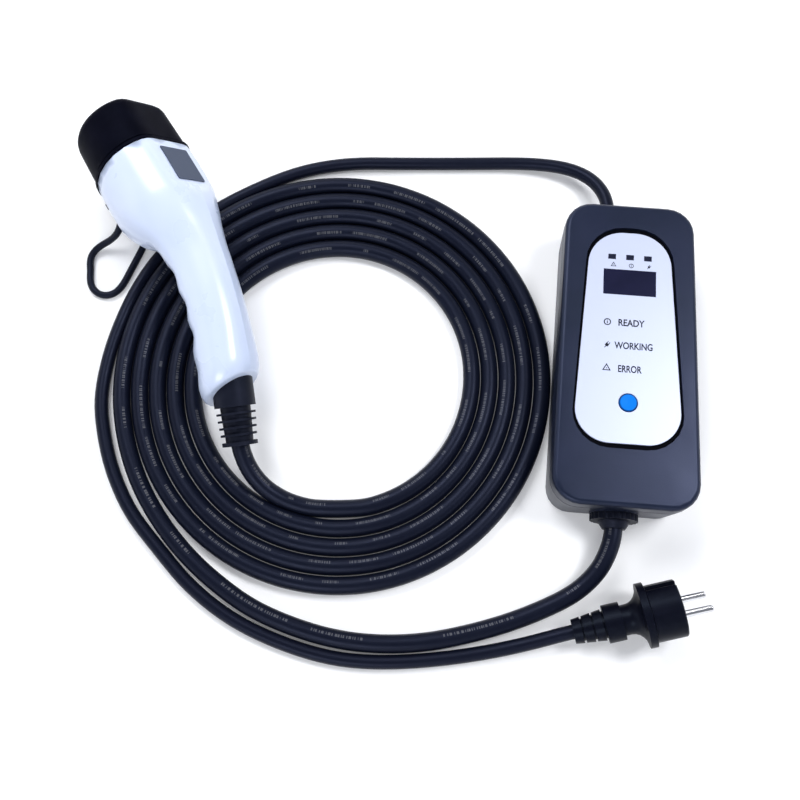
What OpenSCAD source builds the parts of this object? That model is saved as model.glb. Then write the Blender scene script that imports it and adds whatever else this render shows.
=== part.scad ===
/* [Control box] */
// Length of the box along its long axis
box_len = 218; // [205:1:235]
// Width at the end where the mains lead enters
box_far_w = 91; // [88:1:96]
// Width at the end where the vehicle cable leaves
box_near_w = 98; // [94:1:104]
// Height of the closed box
box_h = 50; // [48:1:56]
// Corner radius seen from above
box_corner_r = 19; // [17:1:22]
// Thickness of the side walls
wall = 2.8; // [2.4:0.1:3.4]
// Thickness of the floor of the base
floor_t = 2.8; // [2.4:0.1:3.6]
// Thickness of the front wall of the cover
front_t = 4.2; // [3.8:0.1:5]
// Height of the joint line between base and cover
seam_h = 36; // [35.5:0.5:38]
// How far the walls lean in towards the floor
box_draft = 2.4; // [1.5:0.1:3]
// Rounding of the front edge
edge_r = 3.6; // [2.4:0.2:4.6]
// Thickness of the gasket in the joint line
gasket_t = 0.8; // [0.6:0.1:1.2]
// How far the gasket sits back from the outside
gasket_inset = 0.7; // [0.4:0.1:1]

/* [Fascia] */
// Length of the silver panel
fascia_len = 153.4; // [146:0.2:160]
// Width of the panel at its narrow end
fascia_far_w = 58; // [54:0.5:62]
// Width of the panel at its broad end
fascia_near_w = 71; // [67:0.5:74]
// Corner radius at the narrow end
fascia_far_r = 25; // [20:0.5:26]
// Corner radius at the broad end
fascia_near_r = 23; // [18:0.5:25]
// Thickness of the panel
fascia_t = 1.5; // [1:0.1:1.7]
// Depth of the recess that holds the panel
recess_depth = 2.2; // [2:0.1:2.4]
// Open groove beside the panel
groove_side = 1.8; // [1:0.1:2.2]
// Open groove beyond the ends of the panel
groove_end = 3.6; // [2:0.1:4]
// Centre of the panel, measured from the middle of the box
fascia_y = 10.2; // [6:0.1:12]
// Width of the display window
display_w = 36.6; // [32:0.2:40]
// Height of the display window
display_h = 19; // [16:0.2:21]
// Centre of the display, measured from the middle of the box
display_y = 49.2; // [46:0.1:51]
// Width of one status lens
lens_w = 5.4; // [4:0.1:6]
// Height of one status lens
lens_h = 3.9; // [3:0.1:5]
// Spacing of the status lenses
lens_pitch = 12.5; // [10:0.1:14]
// Row of the status lenses, measured from the middle of the box
lens_y = 68.2; // [66:0.1:70]
// Radius of the round button
button_r = 6.1; // [5:0.1:7]
// Centre of the button, measured from the middle of the box
button_y = -38; // [-42:0.5:-34]
// How far the button stands above the panel
button_proud = 0.8; // [0.7:0.1:1.4]
// Travel of the button
button_travel = 0.6; // [0.4:0.1:0.7]
// Running clearance round the button
button_clear = 0.1; // [0.05:0.01:0.1]

/* [Cables] */
// Diameter of the vehicle cable
ev_cable_d = 12.6; // [11:0.1:12.6]
// Diameter of the mains lead
mains_d = 9.8; // [9:0.1:10.4]
// Outer radius of the lying coil
coil_outer_r = 149.5; // [146:0.5:149.5]
// Inner radius of the lying coil
coil_inner_r = 93; // [90:0.5:96]
// Diameter of the rubber tether
tether_d = 5.2; // [4:0.1:5.2]
// Radius of the gland collar of the vehicle cable
outlet_collar_r = 16.3; // [15:0.1:16.6]
// Length of that collar outside the wall
outlet_collar_len = 5.4; // [4:0.1:7]
// Radius of the gland collar of the mains lead
mains_collar_r = 11.5; // [10:0.1:13]
// Length of that collar outside the wall
mains_collar_len = 4.6; // [4:0.1:6]
// Length of the soft nose of a gland
gland_nose_len = 4.6; // [3:0.1:6]
// Height of both glands above the floor
gland_h = 18.6; // [18:0.1:19]
// Sideways place of the mains gland
mains_gland_x = -10; // [-14:0.5:-4]
// Sideways place of the outlet gland
outlet_gland_x = -2; // [-5:0.5:0]

/* [Vehicle connector] */
// Radius of the head behind the cap
head_r = 35.5; // [34:0.1:36.5]
// Length of the moulded handle behind the cap
handle_len = 176; // [171:1:181]
// Thickness of the handle shells
shell_t = 3; // [2.4:0.1:3.4]
// Angle between the nose and the end of the grip
grip_angle = 29; // [27:0.1:31]
// Straight length of the head before the grip bends
head_straight = 52; // [46:0.5:56]
// Spacing of the finger grooves
finger_pitch = 23.5; // [21:0.1:25]
// Depth of the finger grooves
finger_depth = 3.4; // [2:0.1:4]
// Length of the dust cap
cap_len = 42.6; // [40:0.1:45]
// Radius of the dust cap
cap_r = 34.6; // [33.6:0.1:35]
// Radius of the lip at the open end of the cap
cap_lip_r = 36; // [35.6:0.1:36.6]
// Radius of the nose that plugs into the vehicle
nose_r = 29.4; // [28.6:0.1:29.8]
// Length of the nose in front of the handle
nose_len = 37.5; // [35:0.1:38.6]
// Bore of a power contact
power_bore_r = 3.05; // [3.02:0.01:3.1]
// Bore of a pilot contact
pilot_bore_r = 1.55; // [1.52:0.01:1.6]
// Length of the cable boot behind the handle
boot_len = 39.3; // [38:0.1:42]
// Radius of the boot collar
boot_collar_r = 14.2; // [13.4:0.1:14.8]

/* [Mains plug] */
// Radius of the plug face
plug_r = 18.8; // [18:0.1:19.4]
// Radius of the gripping flange
plug_flange_r = 21.4; // [20.4:0.1:22]
// Length from the face to the end of the plug boot
plug_len = 72; // [68:0.5:76]
// Radius of a pin
pin_r = 2.4; // [2.3:0.01:2.5]
// Length of a pin in front of the face
pin_len = 19; // [18:0.1:20]
// Spacing of the two pins
pin_pitch = 19; // [18:0.1:20]

/* [Hidden] */

// Smoothness of turned parts and of the blended shells
$fn = 64;
arc_steps = 6;
over = 1;
hair = 0.05;
soft_gap = 0.3;

// Colours
c_navy = [0.09, 0.09, 0.13];
c_rubber = [0.07, 0.07, 0.08];
c_white = [0.9, 0.93, 0.98];
c_silver = [0.62, 0.63, 0.66];
c_board = [0.05, 0.3, 0.16];
c_steel = [0.72, 0.73, 0.75];
c_brass = [0.78, 0.66, 0.35];

// Outline of a board-shaped piece that tapers along Y and has round corners
function tapered_outline(len, far_w, near_w, far_r, near_r, inset = 0) = concat(
    [for (i = [0 : arc_steps]) let (a = 90 * i / arc_steps)
        [far_w / 2 - far_r + (far_r - inset) * cos(a), len / 2 - far_r + (far_r - inset) * sin(a)]],
    [for (i = [0 : arc_steps]) let (a = 90 + 90 * i / arc_steps)
        [far_r - far_w / 2 + (far_r - inset) * cos(a), len / 2 - far_r + (far_r - inset) * sin(a)]],
    [for (i = [0 : arc_steps]) let (a = 180 + 90 * i / arc_steps)
        [near_r - near_w / 2 + (near_r - inset) * cos(a), near_r - len / 2 + (near_r - inset) * sin(a)]],
    [for (i = [0 : arc_steps]) let (a = 270 + 90 * i / arc_steps)
        [near_w / 2 - near_r + (near_r - inset) * cos(a), near_r - len / 2 + (near_r - inset) * sin(a)]]);

function box_outline(inset) =
    tapered_outline(box_len, box_far_w, box_near_w, box_corner_r, box_corner_r, inset);

// Solid between rings of points that all have the same count, closed at both ends
module loft(rings) {
    n = len(rings[0]);
    m = len(rings);
    sides = [for (j = [0 : m - 2]) for (i = [0 : n - 1])
        [j * n + i, (j + 1) * n + i, (j + 1) * n + (i + 1) % n, j * n + (i + 1) % n]];
    first = [for (i = [0 : n - 1]) i];
    last = [for (i = [0 : n - 1]) (m - 1) * n + n - 1 - i];
    polyhedron(points = [for (r = rings) each r], faces = concat([first], sides, [last]));
}

// The same solid from levels of the box outline, each [height, inset]
module box_levels(levels) {
    loft([for (l = levels) [for (p = box_outline(l[1])) [p[0], p[1], l[0]]]]);
}

// Round bar along a route of points
function unit(v) = v / norm(v);
function route_dir(pts, i) = unit(pts[min(i + 1, len(pts) - 1)] - pts[max(i - 1, 0)]);
function route_side(t) = unit(cross(t, [0, 0, 1]));
module route_tube(pts, d, sides = 8) {
    loft([for (i = [0 : len(pts) - 1])
        let (t = route_dir(pts, i), s = route_side(t), u = cross(s, t))
        [for (k = [0 : sides - 1]) let (a = -360 * k / sides)
            pts[i] + d / 2 * (cos(a) * s + sin(a) * u)]]);
}

// A wall column with a bore and a pan-head screw that fits it
module bored_post(r, bore_r, h) {
    difference() {
        cylinder(r = r, h = h);
        translate([0, 0, -over]) cylinder(r = bore_r, h = h + 2 * over);
    }
}
module pan_screw(shank_r, shank_len, head_r, head_h) {
    cylinder(r = shank_r, h = shank_len);
    translate([0, 0, -head_h]) cylinder(r = head_r, h = head_h);
}

// Control box: columns that carry the cover
ceiling_z = box_h - front_t;
cover_z = seam_h + gasket_t;
recess_z = box_h - recess_depth;
fascia_z = recess_z + fascia_t;
column_r = 5;
column_x_share = 0.72;
column_y_share = 0.85;
column_bore_r = 1.7;
screw_r = 1.5;
screw_pilot_r = 1.55;
screw_head_r = 3.1;
screw_head_h = 2.4;
sink_r = 3.4;
sink_depth = 4;
screw_grip = 8;
column_x = column_x_share * box_far_w / 2;
column_y = column_y_share * box_len / 2;
function corners(x, y) = [[x, y], [-x, y], [-x, -y], [x, -y]];

// Control box: glands sit on round pads flush with the ends of the box
gland_y = box_len / 2;
pad_extra = 0.3;
pad_depth = 5;
gland_neck_share = 0.62;
gland_shoulder_share = 0.66;
gland_fit = 0.05;
gland_tail = 14;
gland_nut_t = 5;
rib_count = 24;
rib_h = 0.7;
nose_tip_extra = 1.6;
nut_inset = 2;
outlet_neck_r = gland_neck_share * outlet_collar_r;
mains_neck_r = gland_neck_share * mains_collar_r;

module outlet_place() translate([outlet_gland_x, -gland_y, gland_h]) rotate([90, 0, 0]) children();
module mains_place() translate([mains_gland_x, gland_y, gland_h]) rotate([-90, 0, 0]) children();

foot_edge = 1.4;
board_clear = 0.4;
board_t = 1.6;
board_z = 9;
main_board_w = 68;
main_board_len = 150;
post_r = 4;
post_bore_r = 1.25;
board_screw_r = 1.2;
board_screw_head_r = 2.6;
board_screw_head_h = 1.6;
board_screw_len = 6;
board_edge = 6;
main_post_x = main_board_w / 2 - board_edge;
main_post_y = main_board_len / 2 - board_edge;

module box_base() {
    color(c_navy) difference() {
        union() {
            difference() {
                box_levels([[0, box_draft + foot_edge], [foot_edge, box_draft], [seam_h, 0]]);
                box_levels([[floor_t, box_draft + wall], [seam_h + over, wall]]);
            }
            outlet_place() translate([0, 0, -pad_depth])
                cylinder(r = outlet_collar_r + pad_extra, h = pad_depth);
            mains_place() translate([0, 0, -pad_depth])
                cylinder(r = mains_collar_r + pad_extra, h = pad_depth);
            for (c = corners(column_x, column_y))
                translate([c[0], c[1], floor_t / 2]) cylinder(r = column_r, h = seam_h - floor_t / 2);
            for (c = corners(main_post_x, main_post_y))
                translate([c[0], c[1], floor_t / 2]) cylinder(r = post_r, h = board_z - floor_t / 2);
        }
        outlet_place() translate([0, 0, -pad_depth - over])
            cylinder(r = outlet_neck_r, h = pad_depth + 2 * over);
        mains_place() translate([0, 0, -pad_depth - over])
            cylinder(r = mains_neck_r, h = pad_depth + 2 * over);
        for (c = corners(column_x, column_y)) translate([c[0], c[1], 0]) {
            translate([0, 0, -over]) cylinder(r = column_bore_r, h = seam_h + 2 * over);
            translate([0, 0, -over]) cylinder(r = sink_r, h = sink_depth + over);
        }
        for (c = corners(main_post_x, main_post_y))
            translate([c[0], c[1], floor_t]) cylinder(r = post_bore_r, h = board_z);
    }
}

// Cover
boss_r = 4.4;
boss_bore_depth = 9;
boss_sink_share = 0.3;
front_board_w = 50;
front_board_len = 130;
front_board_gap = 6.2;
front_board_edge = 5;
front_post_r = 3.2;
front_board_z = ceiling_z - front_board_gap - board_t;
front_post_x = front_board_w / 2 - front_board_edge;
front_post_y = front_board_len / 2 - front_board_edge;
window_ledge = 1.2;
lens_ledge = 0.5;

module fascia_outline(side_gap, end_gap) {
    translate([0, fascia_y]) polygon(tapered_outline(fascia_len + 2 * end_gap, fascia_far_w + 2 * side_gap,
        fascia_near_w + 2 * side_gap, fascia_far_r + side_gap, fascia_near_r + side_gap));
}
module panel_cutouts() {
    translate([-display_w / 2, display_y - display_h / 2]) square([display_w, display_h]);
    for (i = [-1 : 1])
        translate([i * lens_pitch - lens_w / 2, lens_y - lens_h / 2]) square([lens_w, lens_h]);
}

module box_cover() {
    color(c_navy) difference() {
        union() {
            difference() {
                box_levels(concat([[cover_z, 0]],
                    [for (i = [0 : 4]) let (a = 90 * i / 4)
                        [box_h - edge_r + edge_r * sin(a), edge_r - edge_r * cos(a)]]));
                box_levels([[cover_z - over, wall], [ceiling_z, wall]]);
            }
            for (c = corners(column_x, column_y))
                translate([c[0], c[1], cover_z])
                    cylinder(r = boss_r, h = ceiling_z - cover_z + boss_sink_share * front_t);
            for (c = corners(front_post_x, front_post_y))
                translate([c[0], c[1] + fascia_y, ceiling_z - front_board_gap])
                    cylinder(r = front_post_r, h = front_board_gap + boss_sink_share * front_t);
        }
        translate([0, 0, recess_z]) linear_extrude(recess_depth + over)
            fascia_outline(groove_side, groove_end);
        translate([0, 0, ceiling_z - over]) linear_extrude(front_t + over) panel_cutouts();
        translate([0, button_y, ceiling_z - over]) cylinder(r = button_r + button_clear, h = front_t + over);
        for (c = corners(column_x, column_y))
            translate([c[0], c[1], cover_z - over]) cylinder(r = screw_pilot_r, h = boss_bore_depth + over);
        for (c = corners(front_post_x, front_post_y))
            translate([c[0], c[1] + fascia_y, ceiling_z - front_board_gap - over])
                cylinder(r = post_bore_r, h = front_board_gap);
    }
}

module box_gasket() {
    color(c_rubber) translate([0, 0, seam_h]) linear_extrude(gasket_t) difference() {
        polygon(box_outline(gasket_inset));
        polygon(box_outline(wall));
    }
}

// Panel, window and lenses
rim_gap = 0.5;
module fascia_plate() {
    color(c_silver) translate([0, 0, recess_z]) difference() {
        linear_extrude(fascia_t) fascia_outline(0, 0);
        translate([0, 0, -over]) linear_extrude(fascia_t + 2 * over) panel_cutouts();
        translate([0, button_y, -over]) cylinder(r = button_r + rim_gap, h = fascia_t + 2 * over);
    }
}

module display_window() {
    color([0.08, 0.09, 0.14])
        translate([-display_w / 2 + hair, display_y - display_h / 2 + hair, ceiling_z])
            cube([display_w - 2 * hair, display_h - 2 * hair, fascia_z - ceiling_z - hair]);
}

module display_module() {
    color([0.2, 0.22, 0.2])
        translate([-display_w / 2 - window_ledge, display_y - display_h / 2 - window_ledge,
            ceiling_z - front_board_gap])
            cube([display_w + 2 * window_ledge, display_h + 2 * window_ledge, front_board_gap]);
}

lens_drop = 1.4;
module status_lenses() {
    color([0.85, 0.86, 0.88]) for (i = [-1 : 1])
        translate([i * lens_pitch - lens_w / 2 + hair, lens_y - lens_h / 2 + hair, ceiling_z - lens_drop])
            cube([lens_w - 2 * hair, lens_h - 2 * hair, fascia_z - ceiling_z + lens_drop]);
}

led_r = 1.5;
led_base = 1.4;
module status_leds() {
    color([0.9, 0.9, 0.8]) for (i = [-1 : 1])
        translate([i * lens_pitch, lens_y, ceiling_z - front_board_gap]) {
            cylinder(r = led_r + lens_ledge, h = led_base);
            cylinder(r = led_r, h = front_board_gap - lens_drop - soft_gap);
        }
}

// Round push button, held under the front wall by its flange
flange_extra = 1.3;
flange_t = 1.6;
button_dome = 0.5;
switch_w = 6;
switch_gap = 0.15;
plunger_r = 1.7;
plunger_len = 1.2;
flange_top = ceiling_z - soft_gap;
button_top = fascia_z + button_proud;
nub_z = flange_top - flange_t;
module select_button() {
    color([0.16, 0.42, 0.8]) translate([0, button_y, 0]) rotate_extrude() polygon([
        [0, nub_z], [button_r + flange_extra, nub_z], [button_r + flange_extra, flange_top],
        [button_r, flange_top], [button_r, button_top - button_dome],
        [button_r - button_dome, button_top], [button_r / 2, button_top - button_dome / 2],
        [0, button_top - button_dome]]);
}

module button_switch() {
    top = nub_z - button_travel - switch_gap;
    color([0.12, 0.12, 0.12]) {
        translate([-switch_w / 2, button_y - switch_w / 2, ceiling_z - front_board_gap])
            cube([switch_w, switch_w, top - plunger_len - ceiling_z + front_board_gap]);
        translate([0, button_y, top - plunger_len - hair]) cylinder(r = plunger_r, h = plunger_len + hair);
    }
}

module board(w, len, px, py) {
    difference() {
        translate([-w / 2, -len / 2, 0]) cube([w, len, board_t]);
        for (c = corners(px, py)) translate([c[0], c[1], -over])
            cylinder(r = post_bore_r + gland_fit, h = board_t + 2 * over);
    }
}
module front_board() {
    color(c_board) translate([0, fascia_y, front_board_z])
        board(front_board_w, front_board_len, front_post_x, front_post_y);
}
module front_board_screws() {
    color(c_steel) for (c = corners(front_post_x, front_post_y))
        translate([c[0], c[1] + fascia_y, front_board_z])
            pan_screw(board_screw_r, board_screw_len, board_screw_head_r, board_screw_head_h);
}
module main_board() {
    color(c_board) translate([0, 0, board_z])
        board(main_board_w, main_board_len, main_post_x, main_post_y);
}
module main_board_screws() {
    color(c_steel) for (c = corners(main_post_x, main_post_y))
        translate([c[0], c[1], board_z + board_t]) rotate([180, 0, 0])
            pan_screw(board_screw_r, board_screw_len, board_screw_head_r, board_screw_head_h);
}

// Parts on the main board, with places as shares of the board
board_top = board_z + board_t;
relay_size = [15.5, 29, 17];
relay_x_share = 0.16;
relay_y_share = -0.2;
module power_relays() {
    color([0.1, 0.25, 0.5]) for (s = [-1, 1])
        translate([s * relay_x_share * main_board_w - relay_size[0] / 2,
            relay_y_share * main_board_len - relay_size[1] / 2, board_top]) cube(relay_size);
}

transformer_w_share = 0.38;
transformer_size = [transformer_w_share * main_board_w, 30, 19];
transformer_place_shares = [-0.2, 0.2];
module supply_transformer() {
    color([0.75, 0.62, 0.15])
        translate([transformer_place_shares[0] * main_board_w - transformer_size[0] / 2,
            transformer_place_shares[1] * main_board_len - transformer_size[1] / 2, board_top])
            cube(transformer_size);
}

ring_r_share = 0.147;
ring_section_share = 0.062;
ring_r = ring_r_share * main_board_w;
ring_section_r = ring_section_share * main_board_w;
ring_place_shares = [0.24, 0.2];
module fault_sensor_ring() {
    color([0.2, 0.2, 0.22])
        translate([ring_place_shares[0] * main_board_w, ring_place_shares[1] * main_board_len,
            board_top + ring_section_r]) rotate_extrude() translate([ring_r, 0]) circle(r = ring_section_r);
}

capacitor_r = 5;
capacitor_h = 18;
capacitor_x_share = 0.2;
capacitor_y_share = 0.02;
module capacitors() {
    color([0.15, 0.15, 0.3]) for (i = [-1 : 1])
        translate([i * capacitor_x_share * main_board_w, capacitor_y_share * main_board_len, board_top])
            cylinder(r = capacitor_r, h = capacitor_h);
}

terminal_size = [42, 13, 15];
terminal_y_share = 0.37;
terminal_bore_r = 2.4;
terminal_ways = 4;
module terminal_block() {
    pitch = terminal_size[0] / terminal_ways;
    color([0.2, 0.5, 0.3]) difference() {
        translate([-terminal_size[0] / 2, terminal_y_share * main_board_len - terminal_size[1] / 2,
            board_top]) cube(terminal_size);
        for (i = [0 : terminal_ways - 1])
            translate([(i + 0.5) * pitch - terminal_size[0] / 2, terminal_y_share * main_board_len + over,
                board_top + terminal_size[2] / 2])
                rotate([-90, 0, 0]) cylinder(r = terminal_bore_r, h = terminal_size[1]);
    }
}

module cover_screws() {
    color(c_steel) for (c = corners(column_x, column_y)) translate([c[0], c[1], sink_depth])
        pan_screw(screw_r, cover_z + screw_grip - sink_depth, screw_head_r, screw_head_h);
}

// Cable glands: ribbed collar, soft nose outside, threaded tail and nut inside
module gland(collar_r, collar_len, neck_r, cable_d) {
    tip_r = cable_d / 2 + nose_tip_extra;
    shoulder_r = gland_shoulder_share * collar_r;
    linear_extrude(collar_len - rib_h) polygon([for (i = [0 : 4 * rib_count - 1])
        (collar_r - (floor(i / 2) % 2) * rib_h) * [cos(90 * i / rib_count), sin(90 * i / rib_count)]]);
    rotate_extrude() polygon([[0, -gland_tail], [neck_r - gland_fit, -gland_tail], [neck_r - gland_fit, 0],
        [shoulder_r, 0], [shoulder_r, collar_len], [tip_r, collar_len + gland_nose_len],
        [0, collar_len + gland_nose_len]]);
}
module gland_nut(neck_r, flat_r) {
    difference() {
        translate([0, 0, -pad_depth - gland_nut_t]) cylinder(r = flat_r, h = gland_nut_t, $fn = 6);
        translate([0, 0, -pad_depth - gland_nut_t - over]) cylinder(r = neck_r, h = gland_nut_t + 2 * over);
    }
}
module outlet_gland() {
    color(c_rubber) outlet_place() gland(outlet_collar_r, outlet_collar_len, outlet_neck_r, ev_cable_d);
}
module outlet_gland_nut() {
    color(c_rubber) outlet_place() gland_nut(outlet_neck_r, outlet_collar_r - nut_inset);
}
module mains_gland() {
    color(c_rubber) mains_place() gland(mains_collar_r, mains_collar_len, mains_neck_r, mains_d);
}
module mains_gland_nut() {
    color(c_rubber) mains_place() gland_nut(mains_neck_r, mains_collar_r - nut_inset);
}

// Vehicle connector: it lies half on its side across the coil. Its own frame has
// X from the cap front along the nose, and Z to the flat side of its round head.
connector_at = [-374, 142.5, 51.2];
connector_heading = -54.2;
connector_pitch = 1;
connector_roll = -52;
module connector_place() {
    translate(connector_at) rotate([0, 0, connector_heading]) rotate([0, -connector_pitch, 0])
        rotate([connector_roll, 0, 0]) children();
}

// Spine of the handle: straight through the head, then one arc down to the cable
shell_x = cap_len + soft_gap;
bend_len = handle_len - head_straight;
bend_r = bend_len * 180 / (PI * grip_angle);
function bend_at(s) = s < head_straight ? 0 : min(grip_angle, (s - head_straight) * grip_angle / bend_len);
function spine_x(s) = shell_x + min(s, head_straight) + bend_r * sin(bend_at(s))
    + max(0, s - handle_len) * cos(grip_angle);
function spine_z(s) = -bend_r * (1 - cos(bend_at(s))) - max(0, s - handle_len) * sin(grip_angle);

// Half width, back and finger side of the handle as shares of the head radius,
// at shares of its length; the fourth is how strongly the finger grooves show there
flat_share = 0.85;
flat_corner_share = 0.1;
handle_shares = [
    [0.00, 1.00, 1.00, 1.00, 0], [0.08, 1.01, 1.01, 1.02, 0], [0.15, 1.01, 1.00, 1.03, 0],
    [0.19, 1.00, 0.99, 1.01, 0], [0.23, 0.98, 0.97, 0.95, 0], [0.27, 0.93, 0.93, 0.86, 0],
    [0.31, 0.86, 0.88, 0.72, 0], [0.34, 0.80, 0.84, 0.57, 0], [0.38, 0.71, 0.79, 0.51, 0.2],
    [0.42, 0.65, 0.75, 0.50, 0.7], [0.46, 0.61, 0.71, 0.50, 1], [0.55, 0.58, 0.66, 0.51, 1],
    [0.65, 0.57, 0.62, 0.54, 1], [0.75, 0.57, 0.59, 0.59, 1], [0.82, 0.59, 0.57, 0.65, 1],
    [0.88, 0.61, 0.56, 0.69, 1], [0.93, 0.62, 0.56, 0.70, 0.6], [0.97, 0.59, 0.54, 0.65, 0],
    [0.99, 0.54, 0.51, 0.58, 0], [1.00, 0.50, 0.49, 0.53, 0]];
label_start = 7;
label_len = 29.5;
flat_past_label = 2.22;
flat_len = label_start + label_len + flat_past_label;
flat_fade_len = 24.64;
slant_start_share = 0.80;
slant_share = 0.55;
first_crest_share = 0.565;
ring_shares = concat([0, 0.04, 0.08, 0.12, 0.16, 0.19], [for (i = [0 : 9]) 0.22 + 0.02 * i],
    [for (i = [0 : 21]) 0.42 + 0.025 * i], [0.965, 0.98, 0.99, 1]);
function blend_share(k, t) = lookup(t, [for (r = handle_shares) [r[0], r[k]]]);
function groove_at(t) = blend_share(4, t) * finger_depth / 2
    * (cos(360 * (t - first_crest_share) * handle_len / finger_pitch) - 1);
function flat_at(t) = t * handle_len < flat_len ? flat_share
    : flat_share + (1 - flat_share) * (t * handle_len - flat_len) / flat_fade_len;
function slant_at(t) = max(0, (t - slant_start_share) / (1 - slant_start_share)) * slant_share;

// The smaller of two lengths, with the step between them rounded over a band
function soft_min(a, b, band) = let (h = max(0, min(1, 0.5 + 0.5 * (b - a) / band)))
    b + (a - b) * h - band * h * (1 - h);

// One point of the handle skin: share along the handle, angle from the flat side, depth of wall
function skin_point(t, a, depth) =
    let (s = t * handle_len, q = bend_at(s),
        half = blend_share(1, t) * head_r - depth,
        back = blend_share(2, t) * head_r - depth,
        front = blend_share(3, t) * head_r + groove_at(t) - depth,
        n = cos(a) > 0 ? soft_min(back * cos(a), flat_at(t) * head_r - depth, flat_corner_share * head_r)
            : front * cos(a),
        along = -slant_at(t) * n)
    [spine_x(s) + n * sin(q) + along * cos(q), half * sin(a), spine_z(s) + n * cos(q) - along * sin(q)];

// Angles of the skin points, closer together round the corner of the flat
skin_angles = concat([0, 15, 23, 31, 39, 49, 61], [for (i = [5 : 12]) 15 * i]);
skin_last = len(skin_angles) - 1;
module half_shell() {
    loft([for (t = ring_shares) concat(
        [for (i = [skin_last : -1 : 0]) skin_point(t, skin_angles[i], 0)],
        [for (a = skin_angles) skin_point(t, a, shell_t)])]);
}

// Screw posts that join the two shells
handle_post_shares = [0.13, 0.44, 0.80];
handle_post_r = 4;
handle_screw_r = 1.4;
handle_bore_r = 1.45;
handle_screw_head_r = 2.6;
handle_screw_head_h = 2;
handle_sink_depth = 4;
handle_screw_reach = 9;
function post_half(t) = blend_share(1, t) * head_r - shell_t / 2;
module at_post(t) {
    s = t * handle_len;
    translate([spine_x(s), 0, spine_z(s)]) children();
}
module handle_shell_right() {
    color(c_white) connector_place() difference() {
        union() {
            half_shell();
            for (t = handle_post_shares) at_post(t) rotate([-90, 0, 0])
                cylinder(r = handle_post_r, h = post_half(t));
        }
        for (t = handle_post_shares) at_post(t) rotate([-90, 0, 0]) {
            translate([0, 0, -over]) cylinder(r = handle_bore_r, h = head_r + 2 * over);
            translate([0, 0, post_half(t) - handle_sink_depth])
                cylinder(r = handle_screw_head_r + hair, h = head_r);
        }
    }
}
module handle_shell_left() {
    color(c_white) connector_place() difference() {
        union() {
            mirror([0, 1, 0]) half_shell();
            for (t = handle_post_shares) at_post(t) rotate([90, 0, 0])
                cylinder(r = handle_post_r, h = post_half(t));
        }
        for (t = handle_post_shares) at_post(t) rotate([90, 0, 0])
            translate([0, 0, -over]) cylinder(r = handle_bore_r, h = handle_screw_reach + 2 * over);
    }
}
module handle_screws() {
    color(c_steel) connector_place() for (t = handle_post_shares) at_post(t)
        translate([0, post_half(t) - handle_sink_depth, 0]) rotate([90, 0, 0])
            pan_screw(handle_screw_r, post_half(t) - handle_sink_depth + handle_screw_reach,
                handle_screw_head_r, handle_screw_head_h);
}

// Round shape with one flat side, drawn in the cross plane of the connector, and
// the same with the corners of the flat rounded
module flatted(r, flat) {
    intersection() {
        circle(r = r);
        translate([-r, -r]) square([2 * r, r + flat]);
    }
}
flat_free_angle = 15;
outline_sides = 44;
function soft_flatted(r, flat, band) = [for (i = [0 : outline_sides])
    let (a = -flat_free_angle - (360 - 2 * flat_free_angle) * i / outline_sides)
    [r * sin(a), cos(a) > 0 ? soft_min(r * cos(a), flat, band) : r * cos(a)]];
module along_nose(x, len) {
    translate([x, 0, 0]) rotate([90, 0, 90]) linear_extrude(len) children();
}

// Nose with its contact carrier
nose_wall = 3.2;
nose_root_len = 9;
nose_flange_t = 3;
carrier_r = nose_r - nose_wall;
carrier_sink = 2.4;
carrier_back = 20;
nose_x = shell_x - nose_len;
nose_flat = flat_share * nose_r;
root_r = head_r - shell_t - soft_gap;
module connector_nose() {
    color(c_rubber) connector_place() difference() {
        union() {
            along_nose(nose_x, nose_len + nose_root_len) flatted(nose_r, nose_flat);
            along_nose(shell_x + hair, nose_flange_t) polygon(soft_flatted(root_r,
                flat_share * head_r - shell_t - soft_gap, flat_corner_share * head_r));
        }
        along_nose(nose_x - over, nose_len + nose_root_len + 2 * over)
            flatted(carrier_r + hair, nose_flat - nose_wall + hair);
    }
}

power_places_shares = [[0, 0], [-0.6, 0], [0.6, 0], [-0.3, -0.52], [0.3, -0.52]];
pilot_places_shares = [[-0.27, 0.44], [0.27, 0.44]];
power_sleeve_r = 4;
pilot_sleeve_r = 2.3;
lip_open_extra = 0.25;
lip_t = 2;
contact_len = 28;
carrier_x = nose_x + carrier_sink;
carrier_len = nose_len - carrier_sink + nose_root_len;
contact_x = carrier_x + lip_t;
module at_contact(p) translate([0, p[0] * carrier_r, p[1] * carrier_r]) rotate([0, 90, 0]) children();
module contact_carrier() {
    color([0.2, 0.2, 0.22]) connector_place() difference() {
        along_nose(carrier_x, carrier_len) flatted(carrier_r, nose_flat - nose_wall);
        for (p = power_places_shares) at_contact(p) {
            translate([0, 0, carrier_x - over]) cylinder(r = power_bore_r + lip_open_extra, h = carrier_len);
            translate([0, 0, contact_x]) cylinder(r = power_sleeve_r + hair, h = carrier_len);
        }
        for (p = pilot_places_shares) at_contact(p) {
            translate([0, 0, carrier_x - over]) cylinder(r = pilot_bore_r + lip_open_extra, h = carrier_len);
            translate([0, 0, contact_x]) cylinder(r = pilot_sleeve_r + hair, h = carrier_len);
        }
    }
}
module sleeve(outer_r, bore_r) {
    translate([0, 0, contact_x]) difference() {
        cylinder(r = outer_r, h = carrier_len - lip_t);
        translate([0, 0, -over]) cylinder(r = bore_r, h = contact_len + over);
    }
}
module power_contacts() {
    color(c_brass) connector_place() for (p = power_places_shares) at_contact(p)
        sleeve(power_sleeve_r, power_bore_r);
}
module pilot_contacts() {
    color(c_brass) connector_place() for (p = pilot_places_shares) at_contact(p)
        sleeve(pilot_sleeve_r, pilot_bore_r);
}

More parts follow.
